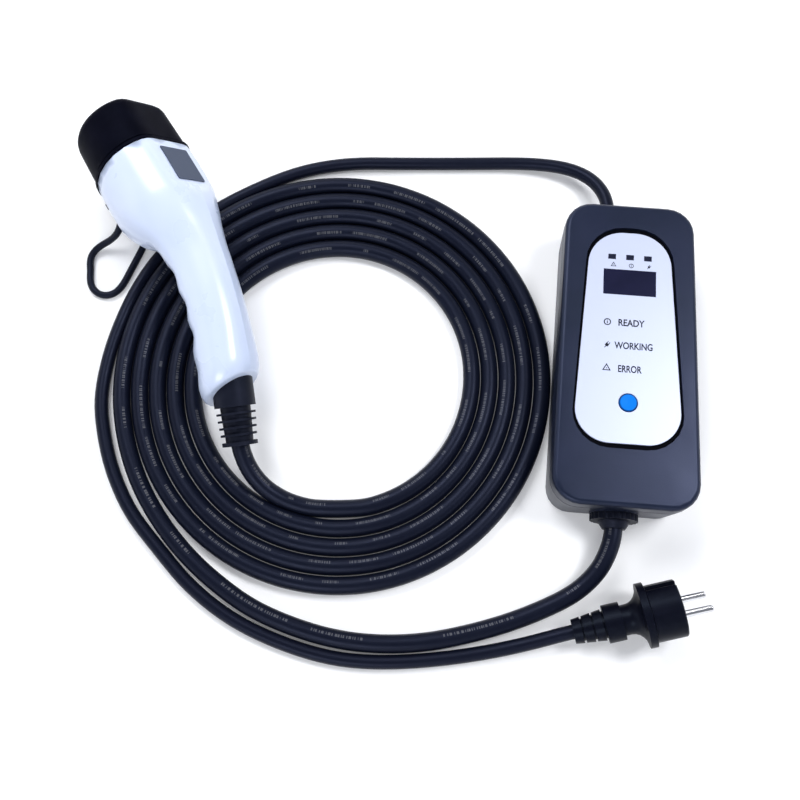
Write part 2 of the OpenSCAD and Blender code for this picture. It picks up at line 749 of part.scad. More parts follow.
// Seal at the root of the nose, squeezed between handle and vehicle inlet
seal_t = 1.6;
seal_w = 1.6;
module nose_seal() {
    color([0.35, 0.12, 0.1]) connector_place() along_nose(shell_x - seal_t, seal_t) difference() {
        flatted(nose_r + seal_w, nose_flat + seal_w);
        flatted(nose_r + hair, nose_flat + hair);
    }
}

// Bare plate on the flat of the head
label_w = 25;
label_t = 0.7;
label_corner_r = 1;
module label_plate() {
    color([0.45, 0.47, 0.52]) connector_place()
        translate([shell_x + label_start + label_len / 2, 0, flat_share * head_r])
            linear_extrude(label_t)
                polygon(tapered_outline(label_w, label_len, label_len, label_corner_r, label_corner_r));
}

// Dust cap: a flatted rubber cup over the nose, with an ear for the tether
cap_edge_r = 8;
cap_front_t = 3.2;
cap_fit = 0.3;
cap_bead = 3.2;
bead_step_share = 0.8;
cap_taper = 0.9;
ear_w = 9;
ear_len = 5;
ear_out = 3.4;
cap_groove_w = 1.2;
cap_groove_depth = 0.7;
cap_groove_slope_share = 0.25;
function flat_ring(x, r) =
    [for (p = soft_flatted(r, flat_share * r, flat_corner_share * r)) [x, p[0], p[1]]];
function cap_edge(i) = let (a = 90 * i / 4)
    [cap_edge_r * (1 - sin(a)), cap_r - cap_taper - cap_edge_r + cap_edge_r * cos(a)];
ear_z = head_r + ear_out;
module dust_cap() {
    groove_x = cap_len - cap_bead - cap_groove_w;
    color(c_rubber) connector_place() difference() {
        union() {
            loft(concat([for (i = [4 : -1 : 0]) let (p = cap_edge(i)) flat_ring(p[0], p[1])],
                [flat_ring(groove_x, cap_r),
                    flat_ring(groove_x + cap_groove_slope_share * cap_groove_w, cap_r - cap_groove_depth),
                    flat_ring(cap_len - cap_bead, cap_r - cap_groove_depth),
                    flat_ring(cap_len - bead_step_share * cap_bead, cap_lip_r),
                    flat_ring(cap_len, cap_lip_r)]));
            translate([cap_len - ear_len, -ear_w / 2, -ear_z - ear_w / 2])
                cube([ear_len, ear_w, ear_w]);
        }
        along_nose(cap_front_t, cap_len) flatted(nose_r + cap_fit, nose_flat + cap_fit);
        along_nose(cap_len - seal_t - soft_gap, cap_len)
            flatted(nose_r + seal_w + cap_fit, nose_flat + seal_w + cap_fit);
    }
}

// Cable boot: collar inside the handle end, then a ribbed taper
boot_root = 14;
boot_core_r = 10.4;
boot_tip_r = 9.4;
fin_r = 13.5;
fin_tip_r = 12.2;
fin_t = 1.5;
fin_pitch = 4.9;
fin_count = 4;
fin_start_share = 0.78;
boot_end_t = 2.6;
collar_out = 12.5;
function boot_r_at(k) = boot_core_r + (boot_tip_r - boot_core_r) * k / fin_count;
function fin_r_at(k) = fin_r + (fin_tip_r - fin_r) * k / fin_count;
function fin_x(k) = collar_out + (k + fin_start_share) * fin_pitch;
module cable_boot() {
    color(c_rubber) connector_place()
        translate([spine_x(handle_len), 0, spine_z(handle_len)]) rotate([0, 90 + grip_angle, 0])
            rotate_extrude() polygon(concat(
                [[0, -boot_root], [boot_collar_r - shell_t, -boot_root], [boot_collar_r, -boot_root / 2],
                    [boot_collar_r, collar_out], [boot_core_r, collar_out]],
                [for (k = [0 : fin_count - 1]) each [[boot_r_at(k), fin_x(k)], [fin_r_at(k), fin_x(k)],
                    [fin_r_at(k), fin_x(k) + fin_t], [boot_r_at(k), fin_x(k) + fin_t]]],
                [[boot_tip_r, boot_len - boot_end_t], [fin_tip_r, boot_len - boot_end_t],
                    [fin_tip_r, boot_len], [0, boot_len]]));
}

// Cable routes, round numbers chosen by hand
ev_route = [[-2, -119, 18.6], [-2, -122.5, 18.6], [-3.2, -130.5, 17.9], [-7, -141, 16.1],
    [-14.5, -152, 13.6], [-27.5, -163.5, 10.6], [-45, -174.5, 8.1], [-66, -184.5, 6.6],
    [-91, -193.8, 6.3], [-121, -202, 6.3], [-151, -206, 6.3], [-181, -205.5, 6.3], [-211, -200, 6.3],
    [-241, -190, 6.3], [-267, -175.5, 6.3], [-290.5, -158, 6.3], [-312, -136.5, 6.3], [-330, -112, 6.3],
    [-343, -86, 6.3], [-350.5, -57, 6.3], [-353, -28, 6.3], [-350.5, 1, 6.3], [-343, 28, 6.3],
    [-330, 52, 6.3], [-312, 70, 6.3]];
ev_tail_route = [[-260.3, -82.4, 24.8], [-258.7, -88.5, 22.8], [-255.2, -97, 18.8], [-249, -105, 14.2],
    [-239, -111.8, 10.2]];
mains_route = [[-10, 118.2, 18.6], [-10, 121.5, 18.6], [-11.3, 128, 18.2], [-15, 137, 17],
    [-21.5, 146, 15], [-32.5, 153.8, 12.4], [-47, 158.8, 9.7], [-65, 161, 7.2], [-85, 161, 5.5],
    [-106, 159.4, 5], [-135, 157, 5], [-168, 154.5, 5], [-200, 152, 5], [-226, 147, 5], [-250, 138.5, 5],
    [-275, 125, 5], [-300, 108, 5], [-323, 87, 5], [-342, 63, 5], [-355, 36, 5], [-363.5, 7, 5],
    [-368, -22, 5], [-368, -52, 5], [-361, -80, 5], [-350, -106, 5], [-334, -131, 5], [-312, -154, 5],
    [-286, -178, 5], [-256, -197, 5], [-222, -210, 5], [-186, -217.5, 5], [-150, -218, 5],
    [-114, -213, 5], [-82, -206, 5.4], [-56, -198.5, 8], [-36.5, -191.8, 11.4], [-26.7, -188.6, 13.2]];
tether_route = [[-373.5, 89.4, 28], [-371.2, 86.2, 28.1], [-369.4, 81.2, 26], [-370.6, 75.6, 21],
    [-376, 71.2, 13.8], [-384.5, 69, 7.4], [-392.5, 65, 3.6], [-396, 57, 2.6], [-393.5, 48.5, 2.6],
    [-393, 40, 2.6], [-389, 32, 2.6], [-380.5, 28, 2.6], [-372, 31, 2.6], [-367, 39, 2.6],
    [-364, 49, 2.6], [-360, 60, 3.2], [-355, 71, 6.8], [-350, 82, 12.8], [-345, 91, 19.2]];
coil_at = [-196, -21, 0];

module cap_tether() {
    color(c_rubber) route_tube(tether_route, tether_d);
}
module ev_cable_lead() {
    color(c_rubber) route_tube(ev_route, ev_cable_d);
}
module ev_cable_tail() {
    color(c_rubber) route_tube(ev_tail_route, ev_cable_d);
}
module mains_lead() {
    color(c_rubber) route_tube(mains_route, mains_d);
}
module ev_cable_coil() {
    color(c_rubber) translate(coil_at) rotate_extrude()
        translate([coil_inner_r, 0]) square([coil_outer_r - coil_inner_r, ev_cable_d]);
}

// Mains plug: lies on its flange and on its lead, X towards the lead
plug_at = [41.5, -168, 25.8];
plug_heading = 196.8;
plug_tilt = 10;
plug_roll = 60;
module plug_place() {
    translate(plug_at) rotate([0, 0, plug_heading]) rotate([0, plug_tilt, 0])
        rotate([plug_roll, 0, 0]) children();
}
plug_edge = 0.8;
plug_front_len = 20;
plug_flange_t = 5.6;
plug_neck_r = 10;
plug_neck_x = 35;
plug_collar_r = 12.6;
plug_collar_x = 39;
plug_collar_t = 11.4;
plug_boot_r = 10.4;
plug_tip_r = 8;
plug_ring_gap = 1.3;
plug_ring_depth = 1.5;
plug_rings = 3;
guide_w = 5.4;
guide_depth = 3.4;
pin_root = 12;
pin_neck_step = 0.2;
pin_shoulder = 0.5;
pin_tip_r = 1.2;
pin_round_share = 0.3;
clip_w = 4.2;
clip_t = 0.8;
earth_bore_r = 2.5;
earth_offset = 10;
earth_bore_depth = 15;
function plug_boot_at(k) = plug_boot_r + (plug_tip_r - plug_boot_r) * k / plug_rings;
boot_x = plug_collar_x + plug_collar_t;
ring_step = (plug_len - boot_x) / plug_rings;
neck_steps = 6;
pin_neck_r = pin_r - pin_neck_step;
module plug_body() {
    blend_len = plug_neck_x - plug_front_len - plug_flange_t;
    color(c_rubber) plug_place() difference() {
        rotate([0, 90, 0]) rotate_extrude() polygon(concat(
            [[0, 0], [plug_r - plug_edge, 0], [plug_r, plug_edge], [plug_r, plug_front_len],
                [plug_flange_r, plug_front_len + plug_edge], [plug_flange_r, plug_front_len + plug_flange_t]],
            [for (i = [1 : neck_steps]) let (a = 90 * i / neck_steps)
                [plug_flange_r - (plug_flange_r - plug_neck_r) * sin(a),
                    plug_front_len + plug_flange_t + blend_len * (1 - cos(a))]],
            [[plug_neck_r, plug_collar_x], [plug_collar_r, plug_collar_x], [plug_collar_r, boot_x]],
            [for (k = [0 : plug_rings - 1]) each [
                [plug_boot_at(k) - plug_ring_depth, boot_x + k * ring_step],
                [plug_boot_at(k) - plug_ring_depth, boot_x + k * ring_step + plug_ring_gap],
                [plug_boot_at(k), boot_x + k * ring_step + plug_ring_gap],
                [plug_boot_at(k + 1), boot_x + (k + 1) * ring_step]]],
            [[0, plug_len]]));
        for (s = [-1, 1]) {
            translate([-over, s * pin_pitch / 2, 0]) rotate([0, 90, 0])
                cylinder(r = pin_neck_r + hair, h = pin_root + over);
            translate([-over, -guide_w / 2, s * plug_r - guide_depth])
                cube([plug_front_len + over, guide_w, 2 * guide_depth]);
        }
        translate([-over, 0, earth_offset]) rotate([0, 90, 0])
            cylinder(r = earth_bore_r, h = earth_bore_depth);
    }
}
module plug_pins() {
    color(c_steel) plug_place() for (s = [-1, 1])
        translate([pin_root, s * pin_pitch / 2, 0]) rotate([0, -90, 0]) rotate_extrude() polygon([
            [0, 0], [pin_neck_r, 0], [pin_neck_r, pin_root + pin_shoulder], [pin_r, pin_root + pin_shoulder],
            [pin_r, pin_root + pin_len - pin_tip_r],
            [pin_r - pin_round_share * pin_tip_r, pin_root + pin_len - pin_round_share * pin_tip_r],
            [pin_r - pin_tip_r, pin_root + pin_len], [0, pin_root + pin_len]]);
}
module plug_earth_clips() {
    color(c_steel) plug_place() for (s = [-1, 1])
        translate([plug_edge, -clip_w / 2, s * (plug_r - guide_depth + clip_t / 2) - clip_t / 2])
            cube([plug_front_len - plug_edge, clip_w, clip_t]);
}

box_base();
box_cover();
box_gasket();
fascia_plate();
display_window();
display_module();
status_lenses();
status_leds();
select_button();
button_switch();
front_board();
front_board_screws();
main_board();
main_board_screws();
power_relays();
supply_transformer();
fault_sensor_ring();
capacitors();
terminal_block();
cover_screws();
outlet_gland();
outlet_gland_nut();
mains_gland();
mains_gland_nut();
handle_shell_right();
handle_shell_left();
handle_screws();
connector_nose();
contact_carrier();
power_contacts();
pilot_contacts();
nose_seal();
label_plate();
dust_cap();
cap_tether();
cable_boot();
ev_cable_lead();
ev_cable_coil();
ev_cable_tail();
mains_lead();
plug_body();
plug_pins();
plug_earth_clips();
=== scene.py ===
# %% [markdown]
# # Portable EV charger
# The object lies on a pale table: a dark control box with a silver panel, a vehicle
# cable in a loose coil, a white moulded connector with a rubber cap, and a mains lead
# with a two-pin plug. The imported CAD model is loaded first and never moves. Everything
# in this lesson is laid over it, in metres and in the same frame.

import math

import bmesh
import bpy
from mathutils import Matrix, Vector


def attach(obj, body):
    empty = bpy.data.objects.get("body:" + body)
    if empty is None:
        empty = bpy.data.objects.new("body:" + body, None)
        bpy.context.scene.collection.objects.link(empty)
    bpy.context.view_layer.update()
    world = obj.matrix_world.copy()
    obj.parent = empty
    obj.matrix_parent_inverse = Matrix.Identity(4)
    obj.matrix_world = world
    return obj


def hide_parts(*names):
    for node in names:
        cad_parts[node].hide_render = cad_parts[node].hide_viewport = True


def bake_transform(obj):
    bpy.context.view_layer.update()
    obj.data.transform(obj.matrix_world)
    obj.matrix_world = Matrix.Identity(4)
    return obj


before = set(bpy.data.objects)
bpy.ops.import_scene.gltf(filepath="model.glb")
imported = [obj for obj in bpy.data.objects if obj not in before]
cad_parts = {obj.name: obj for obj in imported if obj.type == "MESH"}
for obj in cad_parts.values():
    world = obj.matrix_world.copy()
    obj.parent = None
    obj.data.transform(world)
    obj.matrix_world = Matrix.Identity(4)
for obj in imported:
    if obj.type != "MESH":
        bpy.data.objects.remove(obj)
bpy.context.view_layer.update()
scene = bpy.context.scene
MM = 0.001

# %% [markdown]
# ## Camera
# The photograph looks down on the set, sixteen degrees off the vertical, from a little
# left of the middle. A camera is a position and three directions: the two rows below
# are its view direction and its up direction, and the third follows from them. The lens
# comes from the size of the box, the plug and the coil at their different heights.

# %% Camera at the photograph's angle
camera_place = Vector((-0.1390, -0.2234, 0.6625))
camera_forward = Vector((-0.02163, 0.27479, -0.96126)).normalized()
camera_up = Vector((-0.07542, 0.95830, 0.27564)).normalized()
camera_right = camera_forward.cross(camera_up).normalized()
camera_data = bpy.data.cameras.new("photo_camera")
camera_data.sensor_width = 36
camera_data.lens = 42.75
camera_data.clip_start = 0.01
camera = bpy.data.objects.new("photo_camera", camera_data)
scene.collection.objects.link(camera)
turn = Matrix((camera_right, camera_right.cross(camera_forward), -camera_forward)).transposed()
camera.matrix_world = Matrix.Translation(camera_place) @ turn.to_4x4()
scene.camera = camera
print("camera at", tuple(round(v, 3) for v in camera.location), "lens", camera_data.lens)

# %% [markdown]
# ## Finishes
# Nearly everything on this charger is black or white plastic, so the finishes differ in
# small things: how broad the shine is, how fine the surface grain is, and where dust or
# handling has dulled it. Each finish below is a small node graph made by one helper,
# with its grain driven by Object coordinates, which are metres here. The helper returns
# the shader node so that a finish can set its own sockets directly.


# %% A helper for finishes
def new_finish(name, colour, roughness, metallic=0.0, coat=0.0, coat_roughness=0.1, shine=0.5,
               tint=(1, 1, 1)):
    """A material with its shader, and a function that adds nodes to it."""
    material = bpy.data.materials.new(name)
    material.use_nodes = True
    nodes = material.node_tree.nodes
    shader = nodes["Principled BSDF"]
    shader.inputs["Base Color"].default_value = (*colour, 1)
    shader.inputs["Roughness"].default_value = roughness
    shader.inputs["Metallic"].default_value = metallic
    shader.inputs["Coat Weight"].default_value = coat
    shader.inputs["Coat Roughness"].default_value = coat_roughness
    shader.inputs["Specular IOR Level"].default_value = shine
    shader.inputs["Specular Tint"].default_value = (*tint, 1)
    material.diffuse_color = (*colour, 1)
    return material, shader


def add_node(material, kind, **settings):
    """A new node whose sockets and properties are set by name."""
    node = material.node_tree.nodes.new(kind)
    for key, value in settings.items():
        if key in node.inputs:
            node.inputs[key].default_value = value
        else:
            setattr(node, key, value)
    return node


def link(material, out_socket, in_socket):
    material.node_tree.links.new(out_socket, in_socket)


# %% Helpers for grain and colour drift
def add_grain(material, shader, size, height, distance=0.0001, detail=2.0):
    """Fine moulded grain: noise cells of that size in metres, pushed in as a bump."""
    place = add_node(material, "ShaderNodeTexCoord")
    noise = add_node(material, "ShaderNodeTexNoise", Scale=1 / size, Detail=detail)
    bump = add_node(material, "ShaderNodeBump", Strength=height, Distance=distance)
    link(material, place.outputs["Object"], noise.inputs["Vector"])
    link(material, noise.outputs["Fac"], bump.inputs["Height"])
    link(material, bump.outputs["Normal"], shader.inputs["Normal"])
    return bump


def add_drift(material, shader, dark, light, size, low=0.35, high=0.65):
    """The colour wanders between two near shades over patches of that size in metres."""
    place = add_node(material, "ShaderNodeTexCoord")
    noise = add_node(material, "ShaderNodeTexNoise", Scale=1 / size, Detail=3.0)
    ramp = add_node(material, "ShaderNodeValToRGB")
    ramp.color_ramp.elements[0].position = low
    ramp.color_ramp.elements[0].color = (*dark, 1)
    ramp.color_ramp.elements[1].position = high
    ramp.color_ramp.elements[1].color = (*light, 1)
    link(material, place.outputs["Object"], noise.inputs["Vector"])
    link(material, noise.outputs["Fac"], ramp.inputs["Fac"])
    link(material, ramp.outputs["Color"], shader.inputs["Base Color"])
    return ramp


def add_wear(material, shader, smooth, rough, size):
    """Roughness wanders too, as handling polishes some places and dust dulls others."""
    place = add_node(material, "ShaderNodeTexCoord")
    noise = add_node(material, "ShaderNodeTexNoise", Scale=1 / size, Detail=4.0)
    spread = add_node(material, "ShaderNodeMapRange")
    spread.inputs["To Min"].default_value = smooth
    spread.inputs["To Max"].default_value = rough
    link(material, place.outputs["Object"], noise.inputs["Vector"])
    link(material, noise.outputs["Fac"], spread.inputs["Value"])
    link(material, spread.outputs["Result"], shader.inputs["Roughness"])


# %% Plastics and rubbers
sky_tint = (0.56, 0.64, 1.0)
case_finish, shader = new_finish("case_navy_black", (0.0065, 0.010, 0.023), 0.36, shine=0.31,
                                 tint=sky_tint)
add_drift(case_finish, shader, (0.0055, 0.009, 0.020), (0.0085, 0.012, 0.028), 0.05)
add_wear(case_finish, shader, 0.30, 0.42, 0.02)
add_grain(case_finish, shader, 0.0007, 0.35)

rubber_finish, shader = new_finish("black_rubber", (0.004, 0.005, 0.010), 0.50, shine=0.16, tint=sky_tint)
add_drift(rubber_finish, shader, (0.003, 0.004, 0.008), (0.006, 0.007, 0.013), 0.012)
add_wear(rubber_finish, shader, 0.40, 0.58, 0.008)
add_grain(rubber_finish, shader, 0.0005, 0.25)

cap_finish, shader = new_finish("cap_rubber", (0.002, 0.0024, 0.006), 0.50, shine=0.014, tint=sky_tint)
add_drift(cap_finish, shader, (0.0018, 0.0021, 0.005), (0.0028, 0.0032, 0.0075), 0.015)
add_wear(cap_finish, shader, 0.40, 0.56, 0.01)
add_grain(cap_finish, shader, 0.0005, 0.25)

plug_finish, shader = new_finish("plug_rubber", (0.003, 0.0034, 0.008), 0.34, shine=0.075,
                                 tint=(0.6, 0.75, 1.0))
add_drift(plug_finish, shader, (0.0025, 0.003, 0.007), (0.004, 0.0045, 0.0095), 0.012)
add_wear(plug_finish, shader, 0.26, 0.40, 0.008)
add_grain(plug_finish, shader, 0.0005, 0.2)

white_finish, shader = new_finish("white_gloss", (0.555, 0.64, 0.83), 0.28, coat=0.35, coat_roughness=0.2)
add_drift(white_finish, shader, (0.54, 0.625, 0.82), (0.58, 0.66, 0.84), 0.06)
add_wear(white_finish, shader, 0.25, 0.31, 0.03)
add_grain(white_finish, shader, 0.004, 0.06)

# A nearly black matt finish: painted shade for the floor of the panel's recess
recess_shade_finish, shader = new_finish("recess_painted_shade", (0.001, 0.0012, 0.003), 0.8, shine=0.05)
add_grain(recess_shade_finish, shader, 0.0006, 0.3)

inner_finish, shader = new_finish("inner_black_plastic", (0.010, 0.011, 0.015), 0.5, shine=0.3)
add_grain(inner_finish, shader, 0.0008, 0.3)
print("finishes so far:", len(bpy.data.materials))

# %% [markdown]
# The panel is thin metal with a fine brushed grain along its length. A real brushed
# surface is thousands of scratches, and a noise that is squeezed hard along one axis
# gives the same broken streaks.


# %% Metals
def brushed(name, colour, roughness, metallic, along=(1, 1, 1), size=0.0004, height=0.2):
    material, shader = new_finish(name, colour, roughness, metallic)
    place = add_node(material, "ShaderNodeTexCoord")
    squeeze = add_node(material, "ShaderNodeMapping", Scale=along)
    noise = add_node(material, "ShaderNodeTexNoise", Scale=1 / size, Detail=2.0)
    tone = add_node(material, "ShaderNodeMapRange")
    tone.inputs["To Min"].default_value = roughness * 0.8
    tone.inputs["To Max"].default_value = roughness * 1.25
    bump = add_node(material, "ShaderNodeBump", Strength=height, Distance=0.00005)
    link(material, place.outputs["Object"], squeeze.inputs["Vector"])
    link(material, squeeze.outputs["Vector"], noise.inputs["Vector"])
    link(material, noise.outputs["Fac"], tone.inputs["Value"])
    link(material, tone.outputs["Result"], shader.inputs["Roughness"])
    link(material, noise.outputs["Fac"], bump.inputs["Height"])
    link(material, bump.outputs["Normal"], shader.inputs["Normal"])
    return material, shader


panel_finish, shader = brushed("silver_panel", (0.475, 0.523, 0.69), 0.36, 0.15, (1, 0.03, 1), 0.0003)
steel_finish, shader = brushed("screw_steel", (0.55, 0.56, 0.58), 0.32, 1.0)
nickel_finish, shader = brushed("pin_nickel", (0.66, 0.66, 0.68), 0.18, 1.0, (0.15, 1, 1), 0.0006, 0.1)
brass_finish, shader = brushed("contact_brass", (0.72, 0.52, 0.22), 0.28, 1.0)
label_finish, shader = brushed("bare_label", (0.058, 0.074, 0.118), 0.46, 0.0, (1, 0.05, 1), 0.0004)
shader.inputs["Specular IOR Level"].default_value = 0.12

# %% Window, lenses, button and boards
window_finish, shader = new_finish("display_window", (0.006, 0.007, 0.028), 0.16, shine=0.3)
add_drift(window_finish, shader, (0.005, 0.006, 0.026), (0.007, 0.008, 0.032), 0.02)
add_grain(window_finish, shader, 0.003, 0.02)
lens_finish, shader = new_finish("status_lens", (0.006, 0.008, 0.026), 0.22, shine=0.3)
add_grain(lens_finish, shader, 0.0009, 0.1)
# The second, darker blue is painted shade: the mask below lays it on the button's edge from 5.1 mm out
# from its middle, fully from 5.8 mm, for the shaded gap round the button
button_blue, rim_shade_blue = (0.003, 0.165, 0.68), (0.003, 0.07, 0.30)
button_finish, shader = new_finish("button_blue", button_blue, 0.45, shine=0.2, tint=(0.2, 0.6, 1.0))
add_grain(button_finish, shader, 0.0008, 0.12)
place = add_node(button_finish, "ShaderNodeTexCoord")
centre = add_node(button_finish, "ShaderNodeVectorMath", operation="SUBTRACT")
centre.inputs[1].default_value = (0, -0.038, 0)
flat = add_node(button_finish, "ShaderNodeVectorMath", operation="MULTIPLY")
flat.inputs[1].default_value = (1, 1, 0)
reach = add_node(button_finish, "ShaderNodeVectorMath", operation="LENGTH")
rim = add_node(button_finish, "ShaderNodeMapRange")
rim.inputs["From Min"].default_value = 0.0051
rim.inputs["From Max"].default_value = 0.0058
rim_shade_mix = add_node(button_finish, "ShaderNodeMix", data_type="RGBA")
rim_shade_mix.inputs[6].default_value = (*button_blue, 1)
rim_shade_mix.inputs[7].default_value = (*rim_shade_blue, 1)
link(button_finish, place.outputs["Object"], centre.inputs[0])
link(button_finish, centre.outputs[0], flat.inputs[0])
link(button_finish, flat.outputs[0], reach.inputs[0])
link(button_finish, reach.outputs["Value"], rim.inputs["Value"])
link(button_finish, rim.outputs["Result"], rim_shade_mix.inputs[0])
link(button_finish, rim_shade_mix.outputs[2], shader.inputs["Base Color"])
ink_finish, shader = new_finish("panel_ink", (0.008, 0.010, 0.020), 0.6, shine=0.15)
add_drift(ink_finish, shader, (0.006, 0.008, 0.016), (0.014, 0.016, 0.030), 0.0012)
board_finish, shader = new_finish("board_laminate", (0.02, 0.13, 0.06), 0.4)
add_grain(board_finish, shader, 0.0012, 0.2)
led_finish, shader = new_finish("led_epoxy", (0.75, 0.74, 0.66), 0.25)
add_grain(led_finish, shader, 0.001, 0.05)
seal_finish, shader = new_finish("seal_rubber", (0.10, 0.03, 0.025), 0.5)
add_grain(seal_finish, shader, 0.0006, 0.2)
print("finishes:", len(bpy.data.materials))

# %% [markdown]
# ## Dressing the CAD solids
# The CAD meshes are loose triangles with flat faces. A part that is right in shape is
# copied, its doubled points are merged, and its faces are shaded smooth except across
# real edges. A narrow bevel then rounds those edges, because no moulded or stamped edge
# is perfectly sharp and the highlight along an edge is what the eye looks for.


# %% Copy, merge, round the edges
def dress(node, finish, round_edge=0.0, smooth_angle=28, body="root"):
    """A finished copy of a CAD node that takes its place in the picture."""
    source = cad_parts[node]
    mesh = source.data.copy()
    mesh.name = node + "_finished"
    work = bmesh.new()
    work.from_mesh(mesh)
    bmesh.ops.remove_doubles(work, verts=work.verts, dist=1e-6)
    bmesh.ops.dissolve_degenerate(work, edges=work.edges, dist=1e-7)
    work.to_mesh(mesh)
    work.free()
    mesh.materials.clear()
    mesh.materials.append(finish)
    mesh.polygons.foreach_set("use_smooth", [True] * len(mesh.polygons))
    mesh.set_sharp_from_angle(angle=math.radians(smooth_angle))
    piece = bpy.data.objects.new(mesh.name, mesh)
    scene.collection.objects.link(piece)
    if round_edge:
        bevel = piece.modifiers.new("soft_edge", "BEVEL")
        bevel.width = round_edge
        bevel.segments = 2
        bevel.limit_method = "ANGLE"
        bevel.angle_limit = math.radians(40)
        bevel.use_clamp_overlap = True
    normals = piece.modifiers.new("even_shading", "WEIGHTED_NORMAL")
    normals.keep_sharp = True
    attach(piece, body)
    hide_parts(node)
    return piece


def paint(node, finish):
    """A CAD node that stays as it is, hidden inside or small, with a better finish."""
    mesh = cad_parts[node].data
    mesh.materials.clear()
    mesh.materials.append(finish)


# %% Control box and what is inside it
dress("box_base", case_finish, 0.0003)
dress("box_cover", case_finish, 0.0003)
dress("display_window", window_finish, 0.0001)
dress("status_lenses", lens_finish, 0.0001)
dress("select_button", button_finish, 0.0, body="select_button")
paint("box_gasket", rubber_finish)
for node in ("display_module", "button_switch", "power_relays", "capacitors", "terminal_block",
             "supply_transformer", "fault_sensor_ring", "contact_carrier", "connector_nose"):
    paint(node, inner_finish)
for node in ("front_board", "main_board"):
    paint(node, board_finish)
for node in ("front_board_screws", "main_board_screws", "cover_screws", "handle_screws"):
    paint(node, steel_finish)
for node in ("power_contacts", "pilot_contacts"):
    paint(node, brass_finish)
paint("status_leds", led_finish)
paint("nose_seal", seal_finish)

# %% [markdown]
# The silver panel is stamped sheet with smooth round corners. A flat curve can hold an
# outline and the holes in it, and can give the sheet its thickness and a soft edge. The
# outline is the line that a tight string would follow round four discs: for every
# direction it is the point of the disc that reaches out farthest.

# %% The panel as a flat curve with holes
panel_base, panel_thick, panel_edge = 47.8, 1.5, 0.15
panel_discs = [(4, 61.9, 25), (-4, 61.9, 25), (-12.5, -43.5, 23), (12.5, -43.5, 23)]


def string_round(discs, steps=120):
    points = []
    for k in range(steps):
        x, y = math.cos(math.tau * k / steps), math.sin(math.tau * k / steps)
        cx, cy, r = max(discs, key=lambda disc: disc[0] * x + disc[1] * y + disc[2])
        points.append((cx + r * x, cy + r * y))
    return points


def rectangle(x, y, width, height):
    return [(x + i * width / 2, y + j * height / 2) for i, j in ((-1, -1), (-1, 1), (1, 1), (1, -1))]


def sheet(name, loops, base, thick, edge, finish):
    """A flat piece in millimetres from closed loops, with holes where loops lie inside."""
    curve = bpy.data.curves.new(name, "CURVE")
    curve.dimensions = "2D"
    curve.fill_mode = "BOTH"
    curve.extrude = thick / 2 - edge
    curve.bevel_depth = edge
    curve.bevel_resolution = 2
    curve.offset = -edge
    for loop in loops:
        spline = curve.splines.new("POLY")
        spline.points.add(len(loop) - 1)
        for point, (x, y) in zip(spline.points, loop):
            point.co = (x, y, 0, 1)
        spline.use_cyclic_u = True
    holder = bpy.data.objects.new(name, curve)
    scene.collection.objects.link(holder)
    mesh = bpy.data.meshes.new_from_object(holder.evaluated_get(bpy.context.evaluated_depsgraph_get()))
    bpy.data.objects.remove(holder)
    mesh.transform(Matrix.Scale(MM, 4) @ Matrix.Translation((0, 0, base + thick / 2)))
    mesh.materials.clear()
    mesh.materials.append(finish)
    piece = bpy.data.objects.new(name, mesh)
    scene.collection.objects.link(piece)
    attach(piece, "root")
    print(name, len(mesh.polygons), "faces, size mm", [round(v / MM, 2) for v in piece.dimensions])
    return piece


display_hole, lens_hole, button_hole = (0, 49.2, 36.6, 19), (5.4, 3.9), (0, -38, 6.6)
lens_row_y, lens_spacing = 68.2, 12.5
panel_outline = string_round(panel_discs)
panel_holes = [rectangle(*display_hole), string_round([button_hole], 48)]
panel_holes += [rectangle(i * lens_spacing, lens_row_y, *lens_hole) for i in (-1, 0, 1)]
panel = sheet("panel_sheet", [panel_outline] + panel_holes, panel_base, panel_thick, panel_edge,
              panel_finish)
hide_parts("fascia_plate")

# %% [markdown]
# The panel lies in a recess that is wider than the panel at its two ends. A thin matt film,
# nearly black, lies on the floor of that recess as painted shade, a dark crescent round the silver.

# %% Painted shade on the floor of the recess
groove_discs = [(4, 63.7, 26.75), (-4, 63.7, 26.75), (-12.5, -45.3, 24.75), (12.5, -45.3, 24.75)]
shade_film = 0.04
sheet("recess_shade_film", [string_round(groove_discs), panel_outline], panel_base, shade_film, 0.0,
      recess_shade_finish)

# %% Glands, connector and plug
for node in ("outlet_gland", "outlet_gland_nut", "mains_gland", "mains_gland_nut", "cable_boot"):
    dress(node, rubber_finish, 0.0002)
dress("dust_cap", cap_finish, 0.0003, body="dust_cap")
dress("handle_shell_right", white_finish, 0.0, 40)
dress("handle_shell_left", white_finish, 0.0, 40)
dress("label_plate", label_finish, 0.0001)
plug_case = dress("plug_body", plug_finish, 0.0005)
plug_contacts = dress("plug_pins", nickel_finish)
plug_springs = dress("plug_earth_clips", steel_finish, 0.0001)

# %% [markdown]
# ## Print on the panel
# Three small signs stand under the lenses and again beside three words lower down: a
# hollow triangle, a ring with a stroke in it and a little plug. Each sign is built from flat
# rings, bars and letters, joined into one mesh and laid a hair above the panel. The
# words are plain ones and the letters are narrow, as such panels use them.

# %% Flat shapes for the signs
panel_z = 49.32


def ring_shape(work, sides, outer, inner):
    """A flat ring, or with three sides a hollow triangle."""
    rims = []
    for radius in (outer, inner):
        rim = bmesh.ops.create_circle(work, segments=sides, radius=radius)
        rims += list({edge for vert in rim["verts"] for edge in vert.link_edges})
    bmesh.ops.bridge_loops(work, edges=rims)


def bar_shape(work, x, y, width, height):
    bar = bmesh.ops.create_grid(work, x_segments=1, y_segments=1, size=0.5)
    bmesh.ops.scale(work, verts=bar["verts"], vec=(width, height, 1))
    bmesh.ops.translate(work, verts=bar["verts"], vec=(x, y, 0))


